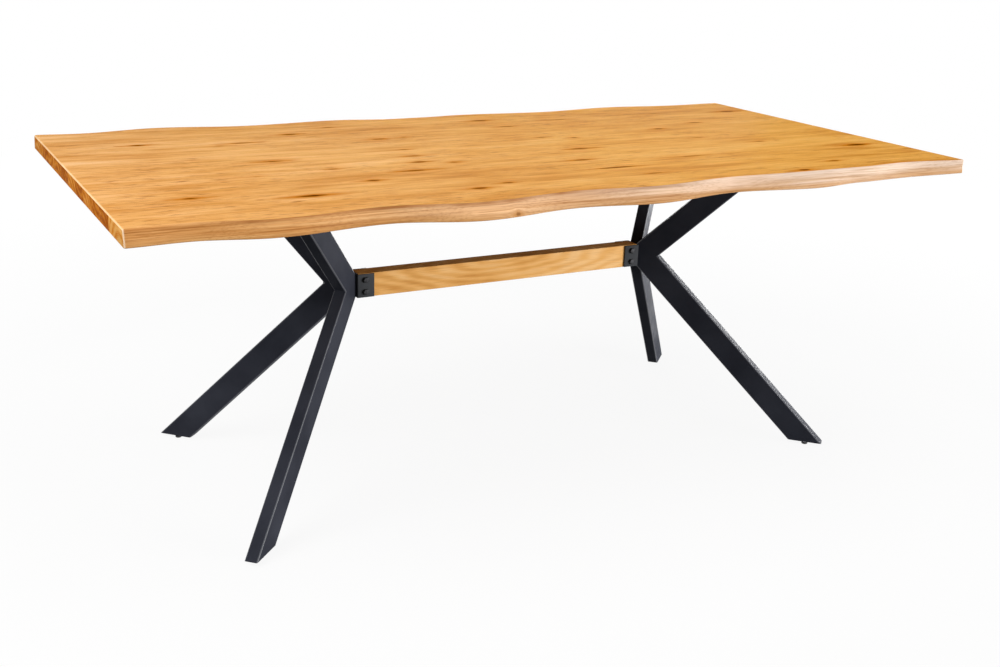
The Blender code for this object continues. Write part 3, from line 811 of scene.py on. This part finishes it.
oiled_plank = plank_finish()
oiled_ends = end_grain_finish()
hearts = ((0.020, -0.05, 0.92), (-0.030, 0.06, 0.78), (0.035, -0.04, 0.62), (-0.010, 0.05, 0.84),
          (0.040, -0.06, 0.50), (-0.035, 0.04, 0.95), (0.015, -0.05, 0.74), (0.030, 0.05, 0.62),
          (-0.025, -0.04, 0.82))
for number, (aside, up, tone) in enumerate(hearts):
    y_low = -half_width + live_board_width + number * board_pitch
    heart = (y_low + board_pitch / 2 + aside, underside + top_thickness / 2 + up, tone)
    board = plank(f"oiled_board_{number + 1}", y_low, y_low + board_pitch, heart, (oiled_plank, oiled_ends))
    stands_for(board, "root", "board_wood", f"top_board_{number + 1}")


# Live-edge boards: one along each long side, cut so that the outer face keeps the tree's own waves. The bark
# is off and the paler sapwood is sanded and oiled, with its growth lines running along the waves.
arris_ease = 0.0022
edge_roughness = 0.0011

# Place in thousandths of the length, and how far the upper and lower arris stand out in millimetres.
front_edge = from_thousandths(
    (0, -2, 5), (55, -7, -2), (135, 16, 25), (245, -8, -3), (340, 19, 38), (455, -10, 4), (545, 5, 26),
    (657.5, -21, -10), (765, -15, 16), (835, -16, -1), (915, -25, -9), (1000, -5, -4))
rear_edge = from_thousandths(
    (0, -2, 8), (50, -12, 0), (145, 18, 38), (255, -13, 1), (380, 7, 24), (455, -15, -2), (500, -13, 1),
    (560, -2, 14), (685, -18, -2), (808, 9, 26), (915, -12, 1), (1000, -6, 4))
front_marks = from_thousandths((-250, 735, 6, 5, 450))
rear_marks = from_thousandths((310, 744, 8, 6, 450))


def live_edge_finish(name, mark_bands):
    """Sanded sapwood: growth lines along the waves, browner to the left, a painted shade band under the
    upper arris on the left, and painted highlights as a pale upper band to the right and three pale patches.
    """
    material, shader, where = new_finish(name)
    bend, knot, halo = read_attribute(where.tree, "figure")
    x, y, z = axes(where)
    wander = grain(where, (3, 9, 9), 2)
    depth = z + bend - y.maths("ABSOLUTE") * 0.22
    spread = put(where.tree, "ShaderNodeCombineXYZ", {0: x, 2: depth * mark_bands})
    lines = between(grain(spread, (2.2, 1, 1), 2), 0.30, 0.70)
    thin = grain(spread, (5.0, 1, 4.0), 2)
    height = between(z, underside, top_height)
    side = between(x + wander * 0.7, -0.25, 0.75)
    brown = tints(lines, (0.15, (0.40, 0.158, 0.040)), (0.45, (0.58, 0.268, 0.082)),
                  (0.85, (0.76, 0.425, 0.175)))
    pale = tints(lines, (0.15, (0.44, 0.260, 0.135)), (0.45, (0.57, 0.375, 0.235)),
                 (0.85, (0.68, 0.51, 0.39)))
    colour = over(brown, pale, side)
    # Painted highlight: a pale whitish band high on the edge towards the right.
    colour = over(colour, (0.70, 0.57, 0.48, 1), between(height, 0.45, 0.85, 0.0, 0.60) * side)
    above_foot = between(height, 0.15, 0.45)
    # Painted highlights: three pale patches above the foot of the edge, where the waves face the light.
    for patch, reach, tint in ((-0.34, 0.36, (0.84, 0.51, 0.265, 1)), (0.30, 0.15, (0.84, 0.62, 0.47, 1)),
                               (0.73, 0.16, (0.85, 0.67, 0.53, 1))):
        off = (x - patch).maths("ABSOLUTE")
        colour = over(colour, tint, above_foot * between(off, 0.0, reach, 0.66, 0.0))
    # Painted shade: a dark brown band just under the upper arris, on the left part of the edge.
    arris_shade = between(grain(where, (6, 2, 2), 2), 0.40, 0.56, 0.50, 0.95)
    arris_shade = arris_shade * between(x, -0.92, -0.78) * between(x, -0.15, 0.12, 1.0, 0.0)
    colour = over(colour, (0.32, 0.125, 0.036, 1), between(height, 0.76, 0.92) * arris_shade)
    colour = over(colour, (0.54, 0.275, 0.095, 1), between(height, 0.46, 0.10, 0.0, 0.60))
    colour = darkened(colour, thin, 0.36, (0.80, 0.73, 0.66), 0.50)
    fibre = grain(where, (12, 520, 520), 3)
    colour = darkened(colour, fibre, 0.30, (0.82, 0.76, 0.70), 0.52)
    colour = over(colour, (0.45, 0.19, 0.045, 1), between(halo, 0.0, 0.5, 0.0, 0.6))
    colour = over(colour, (0.20, 0.075, 0.018, 1), between(knot, 0.0, 0.6, 0.0, 0.75))
    # The paler tint on the rounded end edges is a painted highlight, partly sanded wear.
    feed(shader, {"Base Color": ends_with_painted_highlight(colour, x, (0.95, 0.76, 0.54, 1), 0.7),
                  "Roughness": between(fibre, 0.3, 0.7, 0.58, 0.46),
                  "Specular IOR Level": 0.02,
                  "Normal": relief(lines + fibre * 0.6, 0.0004)})
    return material


def wave(stations, share, column):
    """How far an arris stands out at a share of the length, eased from one station to the next."""
    for near, far in zip(stations, stations[1:]):
        if share <= far[0]:
            ease = (1 - math.cos(math.pi * (share - near[0]) / (far[0] - near[0]))) / 2
            return near[column] + (far[column] - near[column]) * ease
    return stations[-1][column]


def edge_section(stations, share, x):
    """The natural edge from the top to the underside: a soft upper arris, a belly and a soft lower arris."""
    upper = half_width + wave(stations, share, 1)
    lower = half_width + wave(stations, share, 2)
    steps = 12
    points = []
    for k in range(steps + 1):
        drop = k / steps
        belly = upper + (lower - upper) * min(1.0, drop * (1.8 - 0.8 * drop))
        dent = noise.noise(Vector((x * 14, drop * 3.0, 3.1))) - 1
        points.append((belly + edge_roughness * dent * math.sin(math.pi * drop), drop))
    first, last = points[0][0], points[-1][0]
    arris = [(first - arris_ease * inset, drop) for inset, drop in ((1, 0.0), (0.55, 0.010), (0.15, 0.040))]
    foot = [(last - arris_ease * inset, drop) for inset, drop in ((0.15, 0.965), (0.55, 0.990), (1, 1.0))]
    return arris + points[1:-1] + foot


def live_board(name, end, stations, marks, heart, finishes):
    """A board drawn as sections along its length, closed at both ends."""
    inner = half_width - live_board_width
    bm = bmesh.new()
    rings, kinds = [], []
    for x, crown in over_the_top():
        share = x / top_length + 0.5
        edge = [(y - (top_height - crown), drop) for y, drop in edge_section(stations, share, x)]
        face = [(y, crown) for y in even_steps(inner, edge[0][0], (edge[0][0] - inner) / 48)[:-1]]
        side = [(y, crown - (crown - underside) * drop) for y, drop in edge]
        section = face + side + [(inner, underside)]
        kinds = [0] * len(face) + [1] * (len(side) - 1) + [0, 0]
        rings.append([bm.verts.new((x, end * y, z)) for y, z in section])
    for near, far in zip(rings, rings[1:]):
        for k, kind in enumerate(kinds):
            follow = (k + 1) % len(near)
            bm.faces.new((near[k], near[follow], far[follow], far[k])).material_index = kind
    for ring in (rings[0], rings[-1]):
        bm.faces.new(ring).material_index = 2
    piece = as_piece(name, bm, *finishes)

    def marked(co):
        return on_face(co) if co.z > top_height - 0.0001 else knot_figure(co.x, co.z, marks)

    figured(piece, marked, heart)
    return piece


front = live_board("front_live_board", -1, front_edge, front_marks, (-0.47, 0.68, 0.28),
                   (oiled_plank, live_edge_finish("front_sapwood", 120.0), oiled_ends))
stands_for(front, "root", "live_edge_wood", "front_live_edge_board")
rear = live_board("rear_live_board", 1, rear_edge, rear_marks, (0.46, 0.69, 0.50),
                  (oiled_plank, live_edge_finish("rear_sapwood", 112.0), oiled_ends))
stands_for(rear, "root", "live_edge_wood", "rear_live_edge_board")


# Mounting screws: eight zinc-plated pan-head wood screws with cross recesses, driven up through the plates
# into the boards, so their heads show from below.
plate_length = 0.170
screw_margin = 0.018
screw_offset = plate_length / 2 - screw_margin
screw_tree, screw = sizes_tree("mounting_screw", {
    "Head Radius": 0.0065, "Head": 0.0035, "Radius": 0.003, "Length": 0.0212, "Pitch": 0.0025,
    "Recess": 0.0042, "Recess Width": 0.0011})
pan = put(screw_tree, "GeometryNodeMeshCylinder", {
    "Vertices": 32, "Side Segments": 8, "Radius": screw["Head Radius"], "Depth": screw["Head"]})
place = put(screw_tree, "GeometryNodeInputPosition")
down = put(screw_tree, "ShaderNodeMath", {0: 0.5, 1: axes(place)[2].maths("DIVIDE", screw["Head"])},
           operation="SUBTRACT")
level = put(screw_tree, "ShaderNodeVectorMath", {0: place, 1: (1, 1, 0)}, operation="MULTIPLY")
inward = put(screw_tree, "ShaderNodeVectorMath", {0: level, "Scale": down.maths("POWER", 4.0) * -0.4},
             operation="SCALE")
pan = put(screw_tree, "GeometryNodeSetPosition", {"Geometry": pan, "Offset": inward})
pan = lifted(pan, screw["Head"] * -0.5)
cross = []
for long_way, short_way, deep in ((screw["Recess"], screw["Recess Width"], 1.0),
                                  (screw["Recess Width"], screw["Recess"], 0.96)):
    size = put(screw_tree, "ShaderNodeCombineXYZ", {0: long_way, 1: short_way, 2: screw["Head"] * deep})
    cross.append(lifted(put(screw_tree, "GeometryNodeMeshCube", {"Size": size}), screw["Head"] * -1.0))
recessed = put(screw_tree, "GeometryNodeMeshBoolean", {"Mesh 1": pan, "Mesh 2": cross},
               operation="DIFFERENCE", solver="EXACT")
set_out(screw, all_of(recessed, threaded(screw["Radius"], screw["Length"], screw["Pitch"])))
screw_seats = [base_point(side, end, arm_reach + offset, plate_bottom - seat_gap)
               for quarter, side, end in quarters for offset in (-screw_offset, screw_offset)]
screws = grown("mounting_screws", screw_tree, zinc("screw_zinc"), screw_seats)
stands_for(screws, "root", "zinc_steel", *(f"mounting_screw_{quarter}_{where}" for quarter, *_ in quarters
                                           for where in ("inner", "outer")))


# Studio: a pale floor under a white surround, broad soft lights over the left end and over the middle, wide
# low ones before and behind the right end, and four panels that give no light and only show in the gloss.
scene = bpy.context.scene
scene.view_settings.view_transform = "Standard"


def seen_directly(tree):
    """1 where the surround is looked at, straight or in a reflection, and 0 where it only gives light."""
    path = put(tree, "ShaderNodeLightPath").socket.node.outputs
    straight, mirrored, through = [Amount(path[f"Is {ray} Ray"])
                                   for ray in ("Camera", "Glossy", "Transmission")]
    return straight.maths("MAXIMUM", mirrored).maths("MAXIMUM", through)


world = bpy.data.worlds.new("white_surround")
scene.world = world
world.use_nodes = True
feed(world.node_tree.nodes["Background"], {
    "Color": (1, 1, 1, 1), "Strength": between(seen_directly(world.node_tree), 0, 1, 0.26, 1.0)})

bm = bmesh.new()
bmesh.ops.create_circle(bm, cap_ends=True, radius=60, segments=64)
floor_mesh = bpy.data.meshes.new("studio_floor")
bm.to_mesh(floor_mesh)
bm.free()
floor = bpy.data.objects.new("studio_floor", floor_mesh)
scene.collection.objects.link(floor)
floor_finish = bpy.data.materials.new("pale_floor")
floor_finish.use_nodes = True
tree = floor_finish.node_tree
tree.nodes.remove(tree.nodes["Principled BSDF"])
away = put(tree, "ShaderNodeVectorMath", {0: put(tree, "ShaderNodeTexCoord", out="Object")}, out="Value",
           operation="LENGTH")
far = between(away, 1.5, 4.5)
looked_at = seen_directly(tree)
matt = put(tree, "ShaderNodeBsdfDiffuse", {
    "Color": over((0.10, 0.10, 0.10, 1), (0.26, 0.26, 0.26, 1), looked_at)})
white = put(tree, "ShaderNodeEmission", {"Color": (1, 1, 1, 1), "Strength": between(far, 0, 1, 1.30, 1.0)})
pale = put(tree, "ShaderNodeMixShader", {0: looked_at * between(far, 0, 1, 0.7, 1.0), 1: matt, 2: white})
one_way = put(tree, "ShaderNodeMixShader", {0: put(tree, "ShaderNodeNewGeometry", out="Backfacing"), 1: pale,
                                            2: put(tree, "ShaderNodeBsdfTransparent")})
feed(tree.nodes["Material Output"], {"Surface": one_way})
floor_mesh.materials.append(floor_finish)


def soft_light(name, place, aim, wide, high, watts, mirrored_only=False):
    data = bpy.data.lights.new(name, "AREA")
    data.shape = "RECTANGLE"
    data.size = wide
    data.size_y = high
    data.energy = watts
    light = bpy.data.objects.new(name, data)
    light.location = place
    light.rotation_euler = (Vector(aim) - Vector(place)).to_track_quat("-Z", "Y").to_euler()
    light.visible_camera = False
    light.visible_diffuse = not mirrored_only
    scene.collection.objects.link(light)


soft_light("light_over_left", (-2.6, -0.6, 2.0), (0, 0, 0.6), 2.0, 2.0, 61)
soft_light("light_over_right", (0.8, -0.2, 3.0), (0.2, 0, 0.7), 2.2, 2.2, 36)
soft_light("light_in_front", (4.5, -5.5, 0.75), (0, 0, 0.6), 4.0, 0.9, 530)
soft_light("light_behind", (3.2, 6.0, 0.75), (0, 0, 0.6), 4.0, 0.9, 200)
soft_light("panel_behind_right", (2.4, 0.7, 0.44), (0.6, -0.2, 0.44), 1.8, 0.56, 80, mirrored_only=True)
soft_light("panel_behind_left", (-0.6, 3.6, 1.6), (-0.9, 0, 0.76), 1.6, 1.8, 10, mirrored_only=True)
soft_light("panel_on_floor", (1.45, 0.85, 0.02), (1.45, 0.85, 1.0), 1.1, 1.1, 8, mirrored_only=True)
soft_light("panel_front_right", (1.4, -2.5, 2.1), (-0.6, -0.25, 0.3), 0.9, 0.9, 34, mirrored_only=True)


# Camera: on a tripod before the left front corner, at about the height of a seated person's head. It looks
# down on the table and is rolled slightly.
camera_place = Vector((-1.39644, -2.59574, 1.28015))
yaw, pitch, roll = math.radians(28.3244), math.radians(18.5426), math.radians(1.8597)
ahead = Vector((math.sin(yaw) * math.cos(pitch), math.cos(yaw) * math.cos(pitch), -math.sin(pitch)))
level_right = Vector((math.cos(yaw), -math.sin(yaw), 0))
level_up = level_right.cross(ahead)
right = level_right * math.cos(roll) + level_up * math.sin(roll)
up = level_up * math.cos(roll) - level_right * math.sin(roll)
camera_data = bpy.data.cameras.new("camera")
camera_data.sensor_width = 36
camera_data.lens = 44.4346
camera = bpy.data.objects.new("camera", camera_data)
camera.matrix_world = Matrix.Translation(camera_place) @ Matrix((right, up, -ahead)).transposed().to_4x4()
scene.collection.objects.link(camera)
scene.camera = camera
